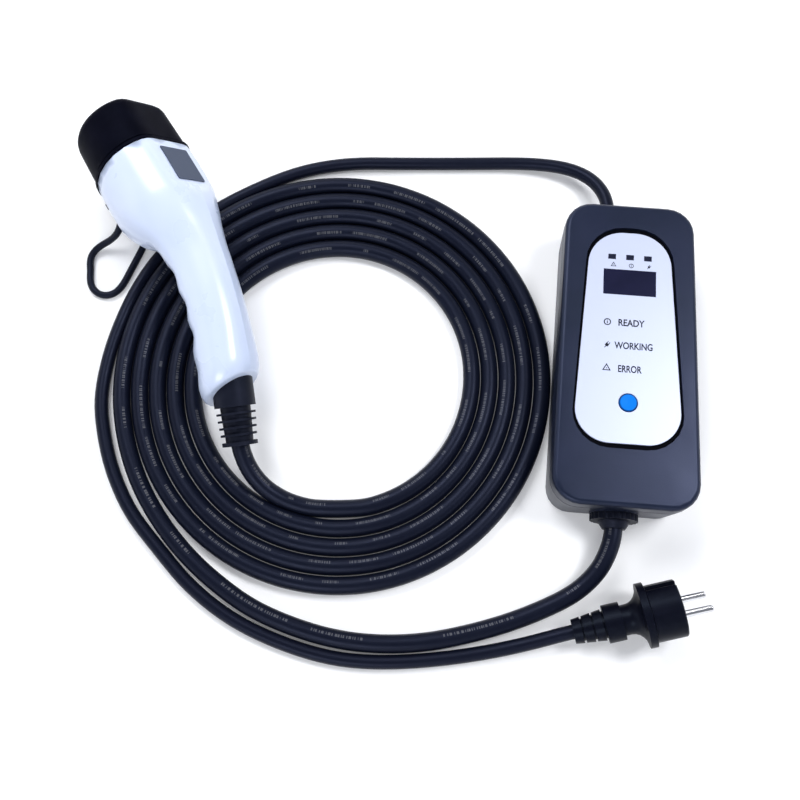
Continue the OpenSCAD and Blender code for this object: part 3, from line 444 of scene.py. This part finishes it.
def put_print(name, mesh, x, y, size=1.0, turn=0.0, stretch=1.0):
    """Lay a flat mesh drawn in millimetres on the panel at (x, y)."""
    place = Matrix.Translation((x, y, panel_z)) @ Matrix.Rotation(turn, 4, "Z")
    mesh.transform(Matrix.Scale(MM, 4) @ place @ Matrix.Diagonal((size * stretch, size, 1, 1)))
    mesh.materials.clear()
    mesh.materials.append(ink_finish)
    piece = bpy.data.objects.new(name, mesh)
    scene.collection.objects.link(piece)
    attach(piece, "root")
    return piece


def letters(body, height):
    """Flat text as a mesh, centred, with capitals of that height in millimetres."""
    data = bpy.data.curves.new(body, "FONT")
    data.body = body
    data.size = height / 0.7
    data.align_x = "CENTER"
    data.align_y = "CENTER"
    data.resolution_u = 4
    data.offset = 0.032 * height
    holder = bpy.data.objects.new(body, data)
    scene.collection.objects.link(holder)
    graph = bpy.context.evaluated_depsgraph_get()
    mesh = bpy.data.meshes.new_from_object(holder.evaluated_get(graph))
    bpy.data.objects.remove(holder)
    return mesh


# %% Signs and words
def sign(kind, x, y, size):
    work = bmesh.new()
    turn = 0.0
    if kind == "ring":
        ring_shape(work, 28, 2.2, 1.55)
        bar_shape(work, 0, -0.25, 0.55, 1.5)
        bar_shape(work, 0, 1.0, 0.55, 0.5)
    elif kind == "triangle":
        ring_shape(work, 3, 2.95, 1.8)
        bar_shape(work, 0, 0, 0.6, 0.6)
    else:
        bar_shape(work, 0, 0, 2.0, 1.9)
        for side in (-0.6, 0.6):
            bar_shape(work, side, 1.6, 0.42, 1.3)
        bar_shape(work, 0, -1.7, 0.5, 1.5)
        turn = math.radians(-38)
    mesh = bpy.data.meshes.new("sign_" + kind)
    work.to_mesh(mesh)
    work.free()
    return put_print("sign_" + kind, mesh, x, y, size, turn)


for kind, x in (("triangle", -11.5), ("ring", 0.9), ("plug", 13.3)):
    sign(kind, x, 61.9, 0.78)
for kind, y in (("ring", 19.0), ("plug", 2.3), ("triangle", -14.5)):
    sign(kind, -15.0, y, 1.15)
for body, x, y, width in (("READY", 1.3, 18.8, 18), ("WORKING", 3.3, 2.1, 26), ("ERROR", 0.6, -14.6, 16)):
    mesh = letters(body, 4.8)
    natural = max(v.co.x for v in mesh.vertices) - min(v.co.x for v in mesh.vertices)
    put_print("word_" + body.lower(), mesh, x, y, stretch=width / natural)

# %% [markdown]
# ## Cables
# A cable is one smooth line with a round section, so it is made as a curve and then
# turned into a mesh that carries a map along and round its length. The vehicle cable
# leaves the lower gland, runs round the outside of the coil, then winds inwards turn by
# turn, and climbs out of the innermost turn into the ribbed boot of the connector. Each
# turn is a little smaller than the last by about one cable diameter.

# %% Routes of the leads, in millimetres and close to those in the part's source
cable_d = 0.0126
mains_d = 0.0098
tether_d = 0.0052
lead_route = [(-2, -112, 18.6), (-2, -119, 18.6), (-3.2, -128.9, 17.9), (-8, -142, 16.1),
              (-14.5, -152, 13.6), (-26.5, -163.8, 10.6), (-45, -174.5, 8.1), (-66, -184.5, 6.6),
              (-91, -193.8, 6.3), (-121, -202, 6.3), (-151, -206, 6.3), (-181, -205.5, 6.3),
              (-211, -200, 6.3), (-241, -190, 6.3), (-267, -175.5, 6.3), (-290.5, -158, 6.3),
              (-312, -136.5, 6.3), (-330, -112, 6.3), (-343, -86, 6.3)]
tail_route = [(-203.5, -118.9, 6.4), (-215.4, -117.9, 6.4), (-226.4, -115.4, 7.4),
              (-237.6, -110.8, 10.4), (-246.6, -104.5, 14.1), (-254.2, -95.9, 18.7),
              (-258.7, -87, 22.6), (-260.3, -82.4, 24.8), (-262, -74.5, 27.2)]
mains_route = [(-10, 111, 18.6), (-10, 118.2, 18.6), (-11.3, 128, 18.2), (-15, 137, 17),
               (-21.5, 146, 15), (-32.5, 153.8, 12.4), (-47, 158.8, 9.7), (-65, 161, 7.2),
               (-85, 161, 5.5), (-106, 159.4, 5), (-135, 157, 5), (-168, 154.5, 5), (-200, 152, 5),
               (-226, 147, 5), (-250, 138.5, 5), (-275, 125, 5), (-300, 108, 5), (-323, 87, 5),
               (-342, 63, 5), (-355, 36, 5), (-363.5, 7, 5), (-368, -22, 5), (-368, -52, 5),
               (-361, -80, 5), (-350, -106, 5), (-334, -131, 5), (-312, -154, 5), (-286, -178, 5),
               (-256, -197, 5), (-222, -210, 5), (-186, -217.5, 5), (-150, -218, 5),
               (-114, -213, 5), (-82, -206, 5.4), (-56, -198.5, 8), (-36.5, -191.8, 11.4),
               (-26.7, -188.7, 13.2), (-20.6, -186.8, 14.4)]
tether_route = [(-373.5, 89.4, 28), (-371.2, 86.2, 28.1), (-369.4, 81.2, 26), (-370.6, 75.6, 21),
                (-376, 71.2, 13.8), (-384.5, 69, 7.4), (-392.5, 65, 3.8), (-396, 57, 2.8),
                (-393.5, 48.5, 2.7), (-393, 40, 2.7), (-389, 32, 2.7), (-380.5, 28, 2.7),
                (-372, 31, 2.7), (-367, 39, 2.7), (-364, 49, 2.8), (-360, 60, 3.3), (-355, 71, 6.8),
                (-350, 82, 12.8), (-345, 91, 19.2)]

# %% The turns of the coil
coil_middle = (-196, -21)
turn_count = 5
# Distance of the first turn from the middle at the left, top, right and bottom, and how
# much closer each later turn lies there
side_angles = (194.5, 96.4, 2.8, -85.7)
first_radii = (160.1, 152.9, 143.6, 149.7)
turn_steps = (12.8, 13.1, 12.7, 13.0)


def through_four(a, b, c, d, t):
    """The value at share t of the way from b to c, on a smooth line through all four."""
    return 0.5 * (2 * b + (c - a) * t + (2 * a - 5 * b + 4 * c - d) * t * t
                  + (3 * b - 3 * c + d - a) * t ** 3)


def coil_radius(quarters):
    """Radius after so many quarter turns from the left side, rounded between the four."""
    whole = int(math.floor(quarters))

    def knot(k):
        return first_radii[k % 4] - turn_steps[k % 4] * (k // 4)

    return through_four(*(knot(whole + k) for k in (-1, 0, 1, 2)), quarters - whole)


def coil_angle(quarters):
    whole = int(math.floor(quarters))
    start = side_angles[whole % 4] - 360 * (whole // 4)
    end = side_angles[(whole + 1) % 4] - 360 * ((whole + 1) // 4)
    return math.radians(start + (end - start) * (quarters - whole))


coil_route = []
quarter_steps = 12
cable_rest_z = 6.3
for k in range((4 * turn_count - 1) * quarter_steps):
    q = k / quarter_steps
    r, a = coil_radius(q), coil_angle(q)
    coil_route.append((coil_middle[0] + r * math.cos(a), coil_middle[1] + r * math.sin(a), cable_rest_z))
print("coil points:", len(coil_route), "last", [round(v) for v in coil_route[-1]])


# %% Sweeping a round section along a route
def smooth_line(points, steps=6):
    """Points of a smooth curve that passes through every given point."""
    line = []
    for i in range(len(points) - 1):
        four = points[max(i - 1, 0)], points[i], points[i + 1], points[min(i + 2, len(points) - 1)]
        line += [through_four(*four, k / steps) for k in range(steps)]
    line.append(points[-1])
    return line


def relax(line, passes, reach=0.16, held=0.006, fade=0.04):
    """Ease the bends near both ends, where the cable leaves a gland or a plug, in metres."""
    along = [0.0]
    for a, b in zip(line, line[1:]):
        along.append(along[-1] + (b - a).length)
    for _ in range(passes):
        eased = [(a + 2 * b + c) / 4 for a, b, c in zip(line, line[1:], line[2:])]
        for i, place in enumerate(eased, start=1):
            near = min(along[i], along[-1] - along[i])
            if held < near < reach:
                line[i] = line[i].lerp(place, min(1, (reach - near) / fade))
    return line


def cable(name, route, diameter, finish, steps=5, sides=4, passes=8):
    """A mesh tube along a route in millimetres, with its centreline in metres."""
    line = relax(smooth_line([Vector(p) * MM for p in route], steps), passes)
    curve = bpy.data.curves.new(name, "CURVE")
    curve.dimensions = "3D"
    curve.bevel_depth = diameter / 2
    curve.bevel_resolution = sides
    curve.use_fill_caps = True
    curve.twist_mode = "MINIMUM"
    spline = curve.splines.new("POLY")
    spline.points.add(len(line) - 1)
    for point, place in zip(spline.points, line):
        point.co = (*place, 1)
    holder = bpy.data.objects.new(name + "_line", curve)
    scene.collection.objects.link(holder)
    graph = bpy.context.evaluated_depsgraph_get()
    mesh = bpy.data.meshes.new_from_object(holder.evaluated_get(graph))
    bpy.data.objects.remove(holder)
    mesh.name = name
    mesh.materials.clear()
    mesh.materials.append(finish)
    mesh.polygons.foreach_set("use_smooth", [True] * len(mesh.polygons))
    piece = bpy.data.objects.new(name, mesh)
    scene.collection.objects.link(piece)
    length = sum((b - a).length for a, b in zip(line, line[1:]))
    print(name, "length", round(length, 3), "m,", len(mesh.polygons), "faces")
    return piece, [tuple(p) for p in line], length


# %% [markdown]
# The jacket of a power cable is not a plain black rod. It has a dull sheen, shallow
# waves where the twisted cores press from inside, and a faint pale marking line that is
# printed along it. The marks here are only broken dashes with no letters in them. They
# are drawn on the map that follows the cable, so they bend with every turn.


# %% Jacket finish
def jacket(name, colour):
    material, shader = new_finish(name, colour, 0.40, shine=0.165, tint=sky_tint)
    place = add_node(material, "ShaderNodeTexCoord")
    noise = add_node(material, "ShaderNodeTexNoise", Scale=140.0, Detail=3.0)
    rough = add_node(material, "ShaderNodeMapRange")
    rough.inputs["To Min"].default_value = 0.30
    rough.inputs["To Max"].default_value = 0.48
    link(material, place.outputs["Object"], noise.inputs["Vector"])
    link(material, noise.outputs["Fac"], rough.inputs["Value"])
    link(material, rough.outputs["Result"], shader.inputs["Roughness"])
    grain = add_node(material, "ShaderNodeTexNoise", Scale=1600.0, Detail=2.0)
    bump = add_node(material, "ShaderNodeBump", Strength=0.2, Distance=0.0001)
    link(material, place.outputs["Object"], grain.inputs["Vector"])
    link(material, grain.outputs["Fac"], bump.inputs["Height"])
    link(material, bump.outputs["Normal"], shader.inputs["Normal"])
    return material, shader


def add_marks(material, shader, colour, length, diameter, strength, side_share=0.25):
    """Printed dashes: short strokes in groups, on one narrow line along the cable."""
    stroke_size, group_size, line_width = 0.0009, 0.03, 0.0010
    uv = add_node(material, "ShaderNodeUVMap", uv_map="UVMap")
    parts = add_node(material, "ShaderNodeSeparateXYZ")
    link(material, uv.outputs["UV"], parts.inputs["Vector"])
    mask = add_node(material, "ShaderNodeMath", operation="COMPARE")
    mask.inputs[1].default_value = side_share
    mask.inputs[2].default_value = line_width / (math.pi * diameter)
    link(material, parts.outputs[1], mask.inputs[0])
    for size in (stroke_size, group_size):
        noise = add_node(material, "ShaderNodeTexNoise", noise_dimensions="1D", W=0.0,
                         Scale=length / size, Detail=0.0)
        above = add_node(material, "ShaderNodeMath", operation="GREATER_THAN")
        above.inputs[1].default_value = 0.5
        both = add_node(material, "ShaderNodeMath", operation="MULTIPLY")
        link(material, parts.outputs[0], noise.inputs["W"])
        link(material, noise.outputs["Fac"], above.inputs[0])
        link(material, above.outputs[0], both.inputs[0])
        link(material, mask.outputs[0], both.inputs[1])
        mask = both
    soft = add_node(material, "ShaderNodeMath", operation="MULTIPLY")
    soft.inputs[1].default_value = strength
    link(material, mask.outputs[0], soft.inputs[0])
    blend = add_node(material, "ShaderNodeMix", data_type="RGBA")
    blend.inputs[6].default_value = (*colour, 1)
    blend.inputs[7].default_value = (0.42, 0.43, 0.46, 1)
    link(material, soft.outputs[0], blend.inputs[0])
    link(material, blend.outputs[2], shader.inputs["Base Color"])


# %% The vehicle cable
ev_route = lead_route + coil_route + tail_route
ev_colour = (0.003, 0.0042, 0.0105)
ev_finish, shader = jacket("cable_jacket", ev_colour)
add_marks(ev_finish, shader, ev_colour, 4.4, cable_d, 0.16)
ev_cable, ev_line, ev_length = cable("ev_cable", ev_route, cable_d, ev_finish)
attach(ev_cable, "root")
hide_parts("ev_cable_lead", "ev_cable_coil", "ev_cable_tail")

# %% The mains lead
mains_finish, shader = jacket("mains_jacket", (0.003, 0.004, 0.010))
mains_lead, mains_line, mains_length = cable("mains_cord", mains_route, mains_d, mains_finish)
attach(mains_lead, "root")
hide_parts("mains_lead")

# %% The tether of the cap
tether, tether_line, tether_length = cable("cap_strap", tether_route, tether_d, rubber_finish,
                                           steps=4, sides=3)
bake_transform(tether)
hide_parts("cap_tether")

# %% [markdown]
# ## Floor, light and backdrop
# The object is photographed on plain white. The floor is a large pale sheet that adds a
# little white of its own only to what the camera and reflections see, and more of it far
# out, so that it stays bright without lighting the object more. Its edges turn up into
# plain walls, as in a photo studio. Three broad lamps give the soft light: one large one
# above and behind for the sheen on the box, and two weaker ones to fill from the sides.

# %% Pale floor with its walls
floor_size = 6.0
wall_height = 2.2
work = bmesh.new()
bmesh.ops.create_grid(work, x_segments=1, y_segments=1, size=floor_size / 2)
walls = bmesh.ops.extrude_edge_only(work, edges=[e for e in work.edges if e.is_boundary])
bmesh.ops.translate(work, verts=[v for v in walls["geom"] if isinstance(v, bmesh.types.BMVert)],
                    vec=(0, 0, wall_height))
floor_mesh = bpy.data.meshes.new("pale_floor")
work.to_mesh(floor_mesh)
work.free()
floor = bpy.data.objects.new("pale_floor", floor_mesh)
scene.collection.objects.link(floor)
floor_finish, shader = new_finish("pale_floor", (0.86, 0.87, 0.89), 0.9)
seen = add_node(floor_finish, "ShaderNodeLightPath")
place = add_node(floor_finish, "ShaderNodeTexCoord")
away = add_node(floor_finish, "ShaderNodeVectorMath", operation="LENGTH")
fade = add_node(floor_finish, "ShaderNodeMapRange")
for key, value in (("From Min", 0.45), ("From Max", 1.3), ("To Min", 0.14), ("To Max", 1.0)):
    fade.inputs[key].default_value = value
glow = add_node(floor_finish, "ShaderNodeMath", operation="MULTIPLY")
rays = add_node(floor_finish, "ShaderNodeMath", operation="MAXIMUM")
through = add_node(floor_finish, "ShaderNodeMath", operation="MAXIMUM")
link(floor_finish, place.outputs["Object"], away.inputs[0])
link(floor_finish, away.outputs["Value"], fade.inputs["Value"])
link(floor_finish, fade.outputs["Result"], glow.inputs[1])
link(floor_finish, seen.outputs["Is Camera Ray"], rays.inputs[0])
link(floor_finish, seen.outputs["Is Glossy Ray"], rays.inputs[1])
link(floor_finish, rays.outputs[0], through.inputs[0])
link(floor_finish, seen.outputs["Is Transmission Ray"], through.inputs[1])
link(floor_finish, through.outputs[0], glow.inputs[0])
link(floor_finish, glow.outputs[0], shader.inputs["Emission Strength"])
shader.inputs["Emission Color"].default_value = (1, 1, 1, 1)
floor_mesh.materials.append(floor_finish)

# %% World and lamps
world = bpy.data.worlds.new("studio")
scene.world = world
world.use_nodes = True
world.node_tree.nodes["Background"].inputs["Color"].default_value = (0.84, 0.88, 1.0, 1)
world.node_tree.nodes["Background"].inputs["Strength"].default_value = 0.30


def lamp(name, place, aim, size, power):
    data = bpy.data.lights.new(name, "AREA")
    data.shape = "RECTANGLE"
    data.size, data.size_y = size
    data.energy = power
    light = bpy.data.objects.new(name, data)
    scene.collection.objects.link(light)
    light.location = place
    light.rotation_euler = (Vector(aim) - Vector(place)).to_track_quat("-Z", "Y").to_euler()
    return light


lamp("top_softbox", (-0.75, 0.75, 1.35), (-0.15, 0, 0), (0.9, 0.8), 18)
lamp("right_softbox", (0.64, 0.22, 1.35), (0.05, -0.02, 0), (0.5, 0.45), 13)
lamp("front_fill", (-0.5, -1.3, 1.1), (-0.2, 0, 0), (0.9, 0.6), 11)
scene.view_settings.view_transform = "Standard"

# %% Finish
print("scene built")
